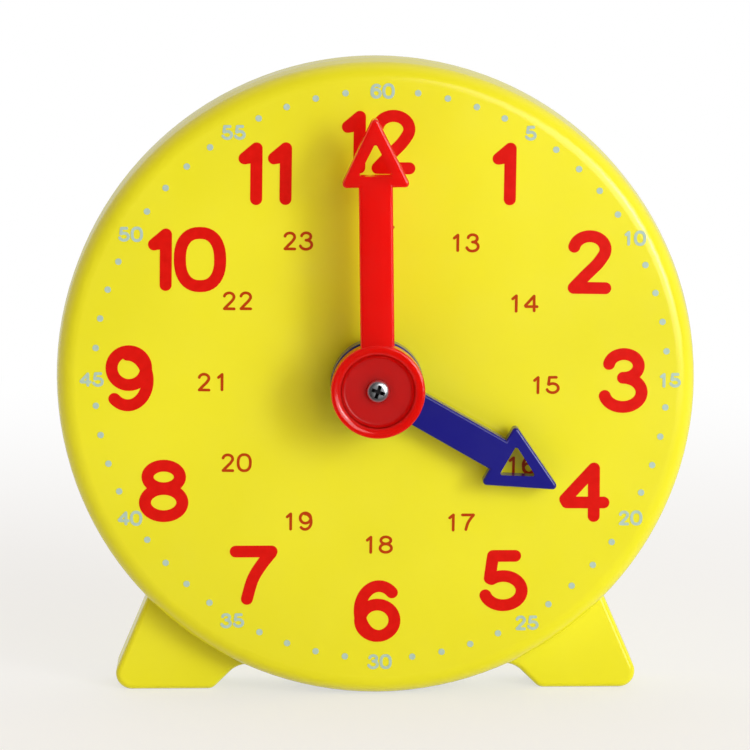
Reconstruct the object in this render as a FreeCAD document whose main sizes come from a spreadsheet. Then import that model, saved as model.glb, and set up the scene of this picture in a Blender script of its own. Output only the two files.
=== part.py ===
"""Geared teaching clock, 100 mm dial: a two-part housing on two feet, two arrow hands and the
12:1 gear train that makes the hour hand follow the minute hand.

Frame: +Z up, the dial faces -Y, X = 0 is the mid plane and the feet stand on Z = 0.
Inside each body the local origin is a turning axis in the plane of the dial's front face, so a
local Y is a depth behind that face, and a negative one is a height in front of it.
All lengths are millimetres and all angles are degrees.
"""
import FreeCAD, Part
import math
import os

import Sketcher
from FreeCAD import Placement, Rotation, Vector

SIZES = {
    # housing
    "dial_radius": 50.0,
    "front_shell_depth": 6.0,
    "rear_shell_depth": 12.0,
    "dial_thickness": 2.2,
    "shell_wall": 2.0,
    "dial_edge_draft": 0.5,
    "front_edge_round": 3.0,
    "back_edge_round": 6.0,
    "back_inner_bevel": 2.5,
    "lip_height": 2.0,
    "lip_wall": 1.4,
    "lip_clearance": 0.1,
    # feet, measured at the table along X from the mid plane
    "foot_outer_reach": 42.44,
    "foot_outer_lean": 23.2,
    "foot_inner_reach": 25.9,
    "foot_inner_lean": 45.5,
    "foot_notch_height": 3.9,
    "foot_root_height": 24.0,
    "foot_core_outer_height": 13.0,
    "foot_core_inner_height": 5.2,
    "foot_front_step": 0.3,
    "foot_back_step": 1.0,
    "foot_outer_round": 2.5,
    "foot_inner_round": 1.8,
    "foot_notch_round": 4.0,
    "foot_face_round": 0.9,
    "foot_wall": 2.0,
    # housing screws
    "boss_rim_gap": 1.3,
    "post_count": 4.0,
    "post_radius": 3.2,
    "screw_boss_radius": 4.2,
    "screw_boss_height": 4.0,
    "screw_recess_radius": 2.7,
    "screw_recess_depth": 2.4,
    "housing_screw_radius": 1.2,
    "housing_screw_length": 8.0,
    "housing_screw_head_radius": 2.4,
    "housing_screw_head_height": 1.7,
    "screw_hole_clearance": 0.2,
    "pilot_extra_depth": 0.6,
    # hands
    "hub_radius": 7.25,
    "hand_width": 5.2,
    "hand_edge_round": 0.4,
    "arrow_width": 10.86,
    "arrow_length": 11.2,
    "arrow_tip_round": 0.6,
    "arrow_hole_width": 5.3,
    "arrow_hole_length": 5.1,
    "arrow_hole_setback": 1.75,
    "arrow_hole_round": 0.3,
    "hour_hand_reach": 21.6,
    "minute_hand_reach": 31.4,
    "dial_boss_radius": 5.5,
    "dial_boss_height": 1.8,
    "hour_hand_thickness": 2.8,
    "hand_spacing": 2.8,
    "minute_hand_thickness": 3.0,
    "hub_rim_height": 0.5,
    "dish_radius": 5.9,
    "dish_floor_radius": 5.3,
    "dish_depth": 1.4,
    "collar_radius": 4.2,
    "socket_end_wall": 1.0,
    "hour_hand_rest_turn": 120.0,
    "minute_hand_rest_turn": -0.6,
    "hand_screw_radius": 1.0,
    "hand_screw_length": 5.0,
    "hand_screw_head_radius": 1.7,
    "hand_screw_head_height": 1.1,
    # gear train
    "gear_module": 0.7,
    "pressure_angle": 25.0,
    "tooth_addendum": 0.8,
    "tooth_dedendum": 1.0,
    "tooth_play": 0.1,
    "minute_pinion_teeth": 15.0,
    "middle_wheel_teeth": 45.0,
    "middle_pinion_teeth": 12.0,
    "wheel_width": 2.5,
    "wheel_spacing": 0.4,
    "pinion_overhang": 0.2,
    "minute_pinion_width": 3.0,
    "running_clearance": 0.05,
    "end_play": 0.1,
    "inner_boss_radius": 6.5,
    "inner_boss_height": 1.0,
    "washer_thickness": 0.4,
    "hour_pipe_radius": 3.5,
    "pipe_recess": 0.2,
    "arbor_radius": 1.95,
    "arbor_square": 2.7,
    "arbor_tail_radius": 1.5,
    "arbor_tail_proud": 0.6,
    "wheel_window_radius": 2.8,
    "wheel_window_circle": 10.2,
    "wheel_window_count": 6.0,
    # stud, bridge and spring
    "stud_radius": 1.5,
    "stud_boss_radius": 3.2,
    "stud_floor": 1.0,
    "middle_hub_radius": 3.0,
    "spring_height": 0.9,
    "spring_thickness": 0.25,
    "spring_radius": 4.6,
    "bridge_thickness": 1.6,
    "bridge_bar_width": 10.0,
    "bridge_foot_width": 8.0,
    "bridge_margin": 4.0,
    "bridge_corner_round": 2.5,
    "bridge_post_radius": 2.4,
    "bridge_post_gap": 1.1,
    "bridge_post_angle": 25.0,
    "bridge_screw_radius": 0.9,
    "bridge_screw_length": 6.0,
    "bridge_screw_head_radius": 1.9,
    "bridge_screw_head_height": 1.2,
}

SAME = 1e-4
doc = FreeCAD.newDocument("TeachingClock")
sheet = doc.addObject("Spreadsheet::Sheet", "Sizes")


class Size:
    """A number that remembers the sheet expression it comes from."""

    def __init__(self, value, text):
        self.value = value
        self.text = text

    def __add__(self, other):
        other = as_size(other)
        return Size(self.value + other.value, f"({self.text} + {other.text})")

    def __sub__(self, other):
        other = as_size(other)
        return Size(self.value - other.value, f"({self.text} - {other.text})")

    def __mul__(self, other):
        other = as_size(other)
        return Size(self.value * other.value, f"({self.text} * {other.text})")

    def __truediv__(self, other):
        other = as_size(other)
        return Size(self.value / other.value, f"({self.text} / {other.text})")

    def __neg__(self):
        return Size(-self.value, f"(-1 * {self.text})")


def as_size(number):
    """A plain number as a Size, so that both can stand in one sum."""
    return number if isinstance(number, Size) else Size(float(number), repr(float(number)))


def tangent(degrees):
    return Size(math.tan(math.radians(degrees.value)), f"tan({degrees.text} * 1deg)")


def cosine(degrees):
    return Size(math.cos(math.radians(degrees.value)), f"cos({degrees.text} * 1deg)")


def sine(degrees):
    return Size(math.sin(math.radians(degrees.value)), f"sin({degrees.text} * 1deg)")


def fill_sheet():
    """One row of the spreadsheet for each driving dimension, and the same sizes by name."""
    named = {}
    for row, (name, value) in enumerate(SIZES.items(), start=1):
        sheet.set(f"A{row}", name)
        sheet.set(f"B{row}", str(value))
        sheet.setAlias(f"B{row}", name)
        named[name] = Size(value, f"Sizes.{name}")
    doc.recompute()
    return type("NamedSizes", (), named)


S = fill_sheet()
NIL = Size(0.0, "0")

# The round of the rear shell touches the table, level with the undersides of the feet.
CENTRE_HEIGHT = S.dial_radius

# Depths behind the dial's front face. A height in front of it is a negative depth.
SEAM = S.front_shell_depth
BACK = SEAM + S.rear_shell_depth
BACK_INNER = BACK - S.shell_wall
FOOT_FRONT = SEAM + S.foot_front_step
FOOT_BACK = BACK - S.foot_back_step
FACE_RADIUS = S.dial_radius - S.dial_edge_draft
SHELL_INNER_RADIUS = S.dial_radius - S.shell_wall
LIP_OUTER_RADIUS = SHELL_INNER_RADIUS - S.lip_clearance
REAR_INNER_RADIUS = LIP_OUTER_RADIUS - S.lip_wall
POST_END = BACK_INNER - S.screw_boss_height
RECESS_FLOOR = BACK - S.screw_recess_depth
POST_CIRCLE_RADIUS = REAR_INNER_RADIUS - S.boss_rim_gap - S.screw_boss_radius

BOSS_INNER_END = S.dial_thickness + S.inner_boss_height
WASHER_FRONT = BOSS_INNER_END + S.end_play / 2
HOUR_WHEEL_FRONT = WASHER_FRONT + S.washer_thickness + S.end_play / 2
HOUR_WHEEL_BACK = HOUR_WHEEL_FRONT + S.wheel_width
MIDDLE_WHEEL_FRONT = HOUR_WHEEL_BACK + S.wheel_spacing
MIDDLE_WHEEL_BACK = MIDDLE_WHEEL_FRONT + S.wheel_width
MIDDLE_PINION_FRONT = HOUR_WHEEL_FRONT - S.pinion_overhang
MINUTE_PINION_FRONT = MIDDLE_WHEEL_FRONT - S.pinion_overhang
MINUTE_PINION_BACK = MINUTE_PINION_FRONT + S.minute_pinion_width
BRIDGE_FRONT = MINUTE_PINION_BACK + S.end_play + S.spring_height
BRIDGE_BACK = BRIDGE_FRONT + S.bridge_thickness

HOUR_HAND_BACK = -(S.dial_boss_height + S.end_play * 2)
HOUR_HAND_FRONT = HOUR_HAND_BACK - S.hour_hand_thickness
HOUR_HUB_FRONT = HOUR_HAND_FRONT - S.hub_rim_height
MINUTE_HAND_BACK = HOUR_HAND_FRONT - S.hand_spacing
MINUTE_HAND_FRONT = MINUTE_HAND_BACK - S.minute_hand_thickness
HUB_FRONT = MINUTE_HAND_FRONT - S.hub_rim_height
DISH_FLOOR = HUB_FRONT + S.dish_depth
COLLAR_BACK = HOUR_HUB_FRONT - S.end_play * 2
SOCKET_END = DISH_FLOOR + S.socket_end_wall
ARBOR_FRONT = SOCKET_END + S.end_play * 2
ARBOR_SHOULDER = COLLAR_BACK
PIPE_FRONT = HOUR_HAND_FRONT + S.pipe_recess
BORE_RADIUS = S.arbor_radius + S.running_clearance

# Both gear pairs share one centre distance, which settles the last wheel's teeth.
CENTRE_DISTANCE = S.gear_module * (S.minute_pinion_teeth + S.middle_wheel_teeth) / 2
HOUR_WHEEL_TEETH = S.minute_pinion_teeth + S.middle_wheel_teeth - S.middle_pinion_teeth
HOUR_RATIO = S.middle_wheel_teeth / S.minute_pinion_teeth * HOUR_WHEEL_TEETH / S.middle_pinion_teeth

# The part's origin is the middle of its depth, on the table.
DIAL_PLANE = (-HUB_FRONT - BACK) / 2


def bind(thing, name, size):
    """Tie one property or constraint to the sheet."""
    thing.setExpression(name, size.text)


def new_body(label, across=NIL, up=NIL, turn=NIL):
    """A body whose local origin is (across, up) from the dial's centre, turned about +Y."""
    body = doc.addObject("PartDesign::Body", label)
    body.Label = label
    body.Placement = Placement(Vector(), Rotation(Vector(0, 1, 0), turn.value or SAME))
    bind(body, "Placement.Base.x", across)
    bind(body, "Placement.Base.y", DIAL_PLANE)
    bind(body, "Placement.Base.z", CENTRE_HEIGHT + up)
    if turn.value:
        bind(body, "Placement.Rotation.Angle", turn)
    else:
        body.Placement.Rotation = Rotation()
    return body


def origin_part(body, role):
    return next(part for part in body.Origin.OriginFeatures if part.Role == role)


def new_sketch(body, name, plane, depth=None):
    """A sketch on the body's XZ plane (a front view, at a depth) or XY plane (a turned profile)."""
    sketch = body.newObject("Sketcher::SketchObject", f"{body.Label}_{name}_sketch")
    sketch.AttachmentSupport = (origin_part(body, plane), "")
    sketch.MapMode = "FlatFace"
    if depth is not None:
        bind(sketch, "AttachmentOffset.Base.z", -depth)
    return sketch


def hold_point(sketch, item, end, across, up):
    """Hold one point of a sketch at two bound distances from the sketch's origin."""
    for kind, size, axis in (("DistanceX", across, -2), ("DistanceY", up, -1)):
        if abs(size.value) < SAME:
            sketch.addConstraint(Sketcher.Constraint("PointOnObject", item, end, axis))
        else:
            number = sketch.addConstraint(
                Sketcher.Constraint(kind, -1, 1, item, end, size.value)
            )
            bind(sketch, f"Constraints[{number}]", size)


def quarter_turn(before, start, end):
    """The arc from start to end that carries on from the level or upright side before it."""
    upright = abs(before.x - start.x) < SAME
    centre = Vector(end.x, start.y, 0) if upright else Vector(start.x, end.y, 0)
    outward = (start + end - centre * 2).normalize()
    return Part.Arc(start, centre + outward * start.distanceToPoint(centre), end)


def draw_outline(sketch, corners, rounds=None):
    """A closed outline through bound corners, straight but for the sides with a radius in rounds."""
    rounds = rounds or {}
    count = len(corners)
    first = sketch.GeometryCount
    points = [Vector(across.value, up.value, 0) for across, up in corners]
    for index in range(count):
        start, end = points[index], points[(index + 1) % count]
        if index in rounds:
            sketch.addGeometry(quarter_turn(points[index - 1], start, end))
        else:
            sketch.addGeometry(Part.LineSegment(start, end))
    for index in range(count):
        after = first + (index + 1) % count
        sketch.addConstraint(Sketcher.Constraint("Coincident", first + index, 2, after, 1))
        hold_point(sketch, first + index, 1, *corners[index])
    for index, radius in rounds.items():
        number = sketch.addConstraint(
            Sketcher.Constraint("Radius", first + index, radius.value)
        )
        bind(sketch, f"Constraints[{number}]", radius)


def draw_circle(sketch, across, up, radius):
    middle = Vector(across.value, up.value, 0)
    item = sketch.addGeometry(Part.Circle(middle, Vector(0, 0, 1), radius.value))
    hold_point(sketch, item, 3, across, up)
    number = sketch.addConstraint(Sketcher.Constraint("Radius", item, radius.value))
    bind(sketch, f"Constraints[{number}]", radius)


def add_feature(body, kind, name, sketch, front, back):
    feature = body.newObject(kind, f"{body.Label}_{name}")
    feature.Profile = sketch
    bind(feature, "Length", back - front)
    feature.Reversed = kind == "PartDesign::Pad"
    doc.recompute()
    return feature


def extrude(body, name, front, back, outline=None, circles=(), cut=False):
    """Pad or pocket an outline or circles, seen from the front, between two depths."""
    sketch = new_sketch(body, name, "XZ_Plane", front)
    if outline:
        draw_outline(sketch, outline)
    for circle in circles:
        draw_circle(sketch, *circle)
    kind = "PartDesign::Pocket" if cut else "PartDesign::Pad"
    return add_feature(body, kind, name, sketch, front, back)


def turn_profile(body, name, corners, rounds=None, cut=False):
    """Turn a profile of (radius, depth) corners about the body's Y axis."""
    sketch = new_sketch(body, name, "XY_Plane")
    draw_outline(sketch, corners, rounds)
    kind = "PartDesign::Groove" if cut else "PartDesign::Revolution"
    feature = body.newObject(kind, f"{body.Label}_{name}")
    feature.Profile = sketch
    feature.ReferenceAxis = (sketch, ["V_Axis"])
    feature.Angle = 360
    doc.recompute()
    return feature


def round_edges(body, name, radius, chosen):
    """Fillet the edges of the body so far that the test picks."""
    base = body.Tip
    edges = enumerate(base.Shape.Edges, start=1)
    names = [f"Edge{number}" for number, edge in edges if chosen(edge)]
    feature = body.newObject("PartDesign::Fillet", f"{body.Label}_{name}")
    feature.Base = (base, names)
    bind(feature, "Radius", radius)
    doc.recompute()
    return feature


def repeat_round(body, feature, count):
    """Repeat a feature round the body's Y axis."""
    pattern = body.newObject("PartDesign::PolarPattern", f"{feature.Name}_ring")
    pattern.Originals = [feature]
    pattern.Axis = (origin_part(body, "Y_Axis"), [""])
    pattern.Angle = 360
    bind(pattern, "Occurrences", count)
    body.Tip = pattern
    doc.recompute()
    return pattern


def mirror_across(body, features, name):
    """Repeat features on the other side of the mid plane."""
    mirrored = body.newObject("PartDesign::Mirrored", f"{body.Label}_{name}")
    mirrored.Originals = features
    mirrored.MirrorPlane = (origin_part(body, "YZ_Plane"), [""])
    body.Tip = mirrored
    doc.recompute()
    return mirrored


def runs_along_depth(edge, across, up):
    """Whether an edge runs front to back through this point of the front view."""
    ends = [vertex.Point for vertex in edge.Vertexes]
    if len(ends) != 2:
        return False
    return all(
        abs(end.x - across.value) < SAME and abs(end.z - up.value) < SAME for end in ends
    )


def is_ring(edge, radius, depth):
    """Whether an edge is a full circle about the axis, of this radius and at this depth."""
    curve = edge.Curve
    return (
        isinstance(curve, Part.Circle)
        and len(edge.Vertexes) == 1
        and abs(curve.Radius - radius.value) < SAME
        and abs(curve.Center.y - depth.value) < SAME
    )


def lies_at_depth(edge, depth):
    box = edge.BoundBox
    return abs(box.YMin - depth.value) < SAME and abs(box.YMax - depth.value) < SAME


# ---------------------------------------------------------------- housing


def post_place():
    """Where the first housing post stands: half a step round from straight up."""
    half_step = Size(180.0, "180") / S.post_count
    return POST_CIRCLE_RADIUS * sine(half_step), POST_CIRCLE_RADIUS * cosine(half_step)


def bridge_posts():
    """The three posts that carry the bridge, one above the hour wheel, two by the middle one."""
    clear = S.bridge_post_gap + S.bridge_post_radius
    reach = tip_radius(S.middle_wheel_teeth) + clear
    side = reach * cosine(S.bridge_post_angle)
    drop = CENTRE_DISTANCE + reach * sine(S.bridge_post_angle)
    return [(NIL, tip_radius(HOUR_WHEEL_TEETH) + clear), (side, -drop), (-side, -drop)]


def dial_shell():
    """Front shell: the dial, its rounded rim, the pipe's bearing and the posts behind it."""
    body = new_body("dial_shell")
    bearing = S.hour_pipe_radius + S.running_clearance
    turn_profile(body, "shell", [
        (bearing, -S.dial_boss_height),
        (S.dial_boss_radius, -S.dial_boss_height),
        (S.dial_boss_radius, NIL),
        (FACE_RADIUS, NIL),
        (S.dial_radius, SEAM),
        (SHELL_INNER_RADIUS, SEAM),
        (SHELL_INNER_RADIUS, S.dial_thickness),
        (S.inner_boss_radius, S.dial_thickness),
        (S.inner_boss_radius, BOSS_INNER_END),
        (bearing, BOSS_INNER_END),
    ])
    round_edges(body, "front_edge", S.front_edge_round,
                lambda edge: is_ring(edge, FACE_RADIUS, NIL))
    across, up = post_place()
    post = extrude(body, "post", S.dial_thickness, POST_END,
                   circles=[(across, up, S.post_radius)])
    repeat_round(body, post, S.post_count)
    pilot_end = RECESS_FLOOR - S.housing_screw_length - S.pilot_extra_depth
    pilot = extrude(body, "pilot", pilot_end, POST_END,
                    circles=[(across, up, S.housing_screw_radius)], cut=True)
    repeat_round(body, pilot, S.post_count)
    extrude(body, "bridge_posts", S.dial_thickness, BRIDGE_FRONT,
            circles=[(*place, S.bridge_post_radius) for place in bridge_posts()])
    bridge_pilot = BRIDGE_BACK - S.bridge_screw_length - S.pilot_extra_depth
    extrude(body, "bridge_pilots", bridge_pilot, BRIDGE_FRONT, cut=True,
            circles=[(*place, S.bridge_screw_radius) for place in bridge_posts()])
    extrude(body, "stud_boss", S.dial_thickness, MIDDLE_PINION_FRONT - S.end_play,
            circles=[(NIL, -CENTRE_DISTANCE, S.stud_boss_radius)])
    extrude(body, "stud_hole", S.stud_floor, MIDDLE_PINION_FRONT, cut=True,
            circles=[(NIL, -CENTRE_DISTANCE, S.stud_radius)])
    return body


def foot_corners():
    """The right foot's corners in the front view, from the one inside the disc down and in."""
    table = -CENTRE_HEIGHT
    outer_slope = tangent(S.foot_outer_lean)
    inner_slope = tangent(S.foot_inner_lean)
    return {
        "top": (
            S.foot_outer_reach - S.foot_root_height * outer_slope,
            table + S.foot_root_height,
        ),
        "outer": (S.foot_outer_reach, table),
        "inner": (S.foot_inner_reach, table),
        "notch": (
            S.foot_inner_reach - S.foot_notch_height * inner_slope,
            table + S.foot_notch_height,
        ),
    }


def foot_core_corners():
    """The hollow that is open at the foot's back, one wall inside its outline."""
    outer_slope = tangent(S.foot_outer_lean)
    inner_slope = tangent(S.foot_inner_lean)
    outer_line = S.foot_outer_reach - S.foot_wall / cosine(S.foot_outer_lean)
    inner_line = S.foot_inner_reach + S.foot_wall / cosine(S.foot_inner_lean)
    corners = [
        (outer_line, outer_slope, S.foot_core_outer_height),
        (outer_line, outer_slope, S.foot_wall),
        (inner_line, inner_slope, S.foot_wall),
        (inner_line, inner_slope, S.foot_core_inner_height),
    ]
    return [
        (line - rise * slope, rise - CENTRE_HEIGHT) for line, slope, rise in corners
    ]


def rear_housing():
    """Rear shell: two feet on one web, the round back that covers it, and the screw bosses."""
    body = new_body("rear_housing")
    corners = foot_corners()
    right = list(corners.values())
    left = [(-across, up) for across, up in reversed(right)]
    extrude(body, "feet", FOOT_FRONT, FOOT_BACK, outline=right + left)
    for corner, radius in (
        ("outer", S.foot_outer_round),
        ("inner", S.foot_inner_round),
        ("notch", S.foot_notch_round),
    ):
        across, up = corners[corner]
        round_edges(body, f"{corner}_corners", radius, lambda edge: (
            runs_along_depth(edge, across, up) or runs_along_depth(edge, -across, up)))
    round_edges(body, "foot_faces", S.foot_face_round, lambda edge: (
        lies_at_depth(edge, FOOT_FRONT) or lies_at_depth(edge, FOOT_BACK)))
    turn_profile(body, "disc", [
        (NIL, SEAM),
        (S.dial_radius, SEAM),
        (S.dial_radius, BACK - S.back_edge_round),
        (S.dial_radius - S.back_edge_round, BACK),
        (NIL, BACK),
    ], rounds={2: S.back_edge_round})
    turn_profile(body, "hollow", [
        (NIL, SEAM),
        (REAR_INNER_RADIUS, SEAM),
        (REAR_INNER_RADIUS, BACK_INNER - S.back_inner_bevel),
        (REAR_INNER_RADIUS - S.back_inner_bevel, BACK_INNER),
        (NIL, BACK_INNER),
    ], cut=True)
    turn_profile(body, "lip", [
        (REAR_INNER_RADIUS, SEAM - S.lip_height),
        (LIP_OUTER_RADIUS, SEAM - S.lip_height),
        (LIP_OUTER_RADIUS, SEAM + S.lip_height),
        (REAR_INNER_RADIUS, SEAM + S.lip_height),
    ])
    core = extrude(body, "foot_core", SEAM + S.foot_wall, BACK,
                   outline=foot_core_corners(), cut=True)
    mirror_across(body, [core], "other_foot_core")
    across, up = post_place()
    boss = extrude(body, "screw_boss", POST_END, BACK_INNER,
                   circles=[(across, up, S.screw_boss_radius)])
    repeat_round(body, boss, S.post_count)
    hole_radius = S.housing_screw_radius + S.screw_hole_clearance
    hole = extrude(body, "screw_hole", POST_END, BACK,
                   circles=[(across, up, hole_radius)], cut=True)
    repeat_round(body, hole, S.post_count)
    recess = extrude(body, "screw_recess", RECESS_FLOOR, BACK,
                     circles=[(across, up, S.screw_recess_radius)], cut=True)
    repeat_round(body, recess, S.post_count)
    return body


# ---------------------------------------------------------------- hands


def arrow_hand(label, reach, back, front, turn):
    """A flat bar with a pierced arrowhead and a round hub that stands a little proud of it."""
    body = new_body(label, turn=turn)
    half_bar = S.hand_width / 2
    half_arrow = S.arrow_width / 2
    tip = (NIL, reach + S.arrow_length)
    barbs = [(-half_arrow, reach), (half_arrow, reach)]
    extrude(body, "bar", front, back, outline=[
        (-half_bar, NIL), (-half_bar, reach), barbs[0], tip,
        barbs[1], (half_bar, reach), (half_bar, NIL),
    ])
    round_edges(body, "arrow_corners", S.arrow_tip_round, lambda edge: any(
        runs_along_depth(edge, *point) for point in (tip, *barbs)))
    round_edges(body, "bar_edge", S.hand_edge_round, lambda edge: lies_at_depth(edge, front))
    hole_base = reach + S.arrow_hole_setback
    half_hole = S.arrow_hole_width / 2
    hole = [
        (-half_hole, hole_base),
        (NIL, hole_base + S.arrow_hole_length),
        (half_hole, hole_base),
    ]
    extrude(body, "arrow_hole", front, back, outline=hole, cut=True)
    round_edges(body, "hole_corners", S.arrow_hole_round, lambda edge: any(
        runs_along_depth(edge, *point) for point in hole))
    hub_front = front - S.hub_rim_height
    extrude(body, "hub", hub_front, back, circles=[(NIL, NIL, S.hub_radius)])
    round_edges(body, "hub_edge", S.hand_edge_round,
                lambda edge: is_ring(edge, S.hub_radius, hub_front))
    return body


def hour_hand():
    turn = S.hour_hand_rest_turn + S.minute_hand_rest_turn / HOUR_RATIO
    body = arrow_hand("hour_hand", S.hour_hand_reach, HOUR_HAND_BACK, HOUR_HAND_FRONT, turn)
    extrude(body, "pipe_bore", HOUR_HUB_FRONT, HOUR_HAND_BACK, cut=True,
            circles=[(NIL, NIL, S.hour_pipe_radius)])
    return body


def minute_hand():
    """The front hand, with a dished hub, and a collar behind it that takes the arbor's square."""
    body = arrow_hand("minute_hand", S.minute_hand_reach, MINUTE_HAND_BACK,
                      MINUTE_HAND_FRONT, S.minute_hand_rest_turn)
    clear_of_rim = HUB_FRONT - S.dish_depth
    turn_profile(body, "dish", [
        (NIL, clear_of_rim),
        (S.dish_radius, clear_of_rim),
        (S.dish_radius, HUB_FRONT),
        (S.dish_floor_radius, DISH_FLOOR),
        (NIL, DISH_FLOOR),
    ], cut=True)
    extrude(body, "collar", MINUTE_HAND_BACK, COLLAR_BACK,
            circles=[(NIL, NIL, S.collar_radius)])
    extrude(body, "socket", SOCKET_END, COLLAR_BACK, cut=True, outline=square(S.arbor_square))
    extrude(body, "screw_hole", DISH_FLOOR, SOCKET_END, cut=True,
            circles=[(NIL, NIL, S.hand_screw_radius + S.running_clearance)])
    return body


def square(side):
    half = side / 2
    return [(-half, -half), (half, -half), (half, half), (-half, half)]


# ---------------------------------------------------------------- gear train


def pitch_radius(teeth):
    return S.gear_module * teeth / 2


def tip_radius(teeth):
    return pitch_radius(teeth) + S.tooth_addendum * S.gear_module


def involute(angle):
    return math.tan(angle) - angle


def cut_teeth(body, name, teeth, front, back):
    """Cut one involute gap, centred straight up, and repeat it round the wheel."""
    count = teeth.value
    pitch = pitch_radius(teeth).value
    pressure = math.radians(S.pressure_angle.value)
    base = pitch * math.cos(pressure)
    foot = pitch - (S.tooth_dedendum * S.gear_module).value
    beyond_tip = tip_radius(teeth).value + S.gear_module.value / 2
    half_gap = math.pi / (2 * count) + S.tooth_play.value / (2 * pitch)

    def flank(radius, side):
        """The point of a flank at this radius, on the right (1) or the left (-1)."""
        rolled = math.acos(min(1.0, base / radius))
        angle = side * (half_gap - involute(pressure) + involute(rolled))
        return Vector(radius * math.sin(angle), radius * math.cos(angle), 0)

    start = max(foot, base)
    middle = (start + beyond_tip) / 2
    right = [flank(radius, 1) for radius in (start, middle, beyond_tip)]
    left = [flank(radius, -1) for radius in (beyond_tip, middle, start)]
    low_right = Vector(right[0]).normalize() * foot
    low_left = Vector(left[2]).normalize() * foot
    edges = [
        Part.Arc(*right),
        Part.LineSegment(right[2], left[0]),
        Part.Arc(*left),
        Part.Arc(low_left, Vector(0, foot, 0), low_right),
    ]
    if start - foot > SAME:
        edges.append(Part.LineSegment(left[2], low_left))
        edges.append(Part.LineSegment(low_right, right[0]))
    sketch = new_sketch(body, name, "XZ_Plane", front)
    for edge in edges:
        item = sketch.addGeometry(edge)
        sketch.addConstraint(Sketcher.Constraint("Block", item))
    gap = add_feature(body, "PartDesign::Pocket", name, sketch, front, back)
    return repeat_round(body, gap, teeth)


def mesh_turn(teeth):
    """The turn that brings a tooth's middle straight down, to a gap of the gear below."""
    half_circle = Size(180.0, "180")
    return half_circle - half_circle / teeth


def cut_windows(body, front, back):
    """Round lightening holes in a wheel's web."""
    window = extrude(body, "window", front, back, cut=True,
                     circles=[(NIL, S.wheel_window_circle, S.wheel_window_radius)])
    repeat_round(body, window, S.wheel_window_count)


def hour_wheel():
    """The last wheel of the train, moulded with the pipe that carries the hour hand."""
    turn = mesh_turn(HOUR_WHEEL_TEETH) + S.minute_hand_rest_turn / HOUR_RATIO
    body = new_body("hour_wheel", turn=turn)
    tip = tip_radius(HOUR_WHEEL_TEETH)
    turn_profile(body, "wheel_and_pipe", [
        (BORE_RADIUS, PIPE_FRONT),
        (S.hour_pipe_radius, PIPE_FRONT),
        (S.hour_pipe_radius, HOUR_WHEEL_FRONT),
        (tip, HOUR_WHEEL_FRONT),
        (tip, HOUR_WHEEL_BACK),
        (BORE_RADIUS, HOUR_WHEEL_BACK),
    ])
    cut_windows(body, HOUR_WHEEL_FRONT, HOUR_WHEEL_BACK)
    cut_teeth(body, "tooth_gap", HOUR_WHEEL_TEETH, HOUR_WHEEL_FRONT, HOUR_WHEEL_BACK)
    return body


def middle_gear():
    """The wheel that the minute pinion drives, moulded with the pinion that drives the hours."""
    turn = -S.minute_hand_rest_turn * S.minute_pinion_teeth / S.middle_wheel_teeth
    body = new_body("middle_gear", up=-CENTRE_DISTANCE, turn=turn)
    pinion_tip = tip_radius(S.middle_pinion_teeth)
    extrude(body, "pinion", MIDDLE_PINION_FRONT, MIDDLE_WHEEL_FRONT,
            circles=[(NIL, NIL, pinion_tip)])
    cut_teeth(body, "pinion_gap", S.middle_pinion_teeth, MIDDLE_PINION_FRONT,
              MIDDLE_WHEEL_FRONT)
    extrude(body, "wheel", MIDDLE_WHEEL_FRONT, MIDDLE_WHEEL_BACK,
            circles=[(NIL, NIL, tip_radius(S.middle_wheel_teeth))])
    cut_windows(body, MIDDLE_WHEEL_FRONT, MIDDLE_WHEEL_BACK)
    cut_teeth(body, "wheel_gap", S.middle_wheel_teeth, MIDDLE_WHEEL_FRONT, MIDDLE_WHEEL_BACK)
    hub_end = BRIDGE_FRONT - S.end_play
    extrude(body, "hub", MIDDLE_WHEEL_BACK, hub_end, circles=[(NIL, NIL, S.middle_hub_radius)])
    extrude(body, "bore", MIDDLE_PINION_FRONT, hub_end, cut=True,
            circles=[(NIL, NIL, S.stud_radius + S.running_clearance)])
    return body


def minute_pinion():
    turn = mesh_turn(S.minute_pinion_teeth) + S.minute_hand_rest_turn
    body = new_body("minute_pinion", turn=turn)
    extrude(body, "blank", MINUTE_PINION_FRONT, MINUTE_PINION_BACK,
            circles=[(NIL, NIL, tip_radius(S.minute_pinion_teeth)), (NIL, NIL, S.arbor_radius)])
    cut_teeth(body, "tooth_gap", S.minute_pinion_teeth, MINUTE_PINION_FRONT,
              MINUTE_PINION_BACK)
    return body


def minute_arbor():
    """Steel arbor: a square for the hand, a round length in the pipe, and a thin tail."""
    body = new_body("minute_arbor", turn=S.minute_hand_rest_turn)
    tail_end = BRIDGE_BACK + S.arbor_tail_proud
    turn_profile(body, "shaft", [
        (NIL, ARBOR_SHOULDER),
        (S.arbor_radius, ARBOR_SHOULDER),
        (S.arbor_radius, MINUTE_PINION_BACK),
        (S.arbor_tail_radius, MINUTE_PINION_BACK),
        (S.arbor_tail_radius, tail_end),
        (NIL, tail_end),
    ])
    extrude(body, "square", ARBOR_FRONT, ARBOR_SHOULDER, outline=square(S.arbor_square))
    thread_end = DISH_FLOOR + S.hand_screw_length + S.pilot_extra_depth
    extrude(body, "tapped_hole", ARBOR_FRONT, thread_end, cut=True,
            circles=[(NIL, NIL, S.hand_screw_radius)])
    return body


def hour_washer():
    body = new_body("hour_washer")
    extrude(body, "ring", WASHER_FRONT, WASHER_FRONT + S.washer_thickness, circles=[
        (NIL, NIL, S.inner_boss_radius),
        (NIL, NIL, S.hour_pipe_radius + S.running_clearance * 2),
    ])
    return body


def gear_stud():
    body = new_body("gear_stud", up=-CENTRE_DISTANCE)
    extrude(body, "pin", S.stud_floor, BRIDGE_BACK, circles=[(NIL, NIL, S.stud_radius)])
    return body


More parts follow.
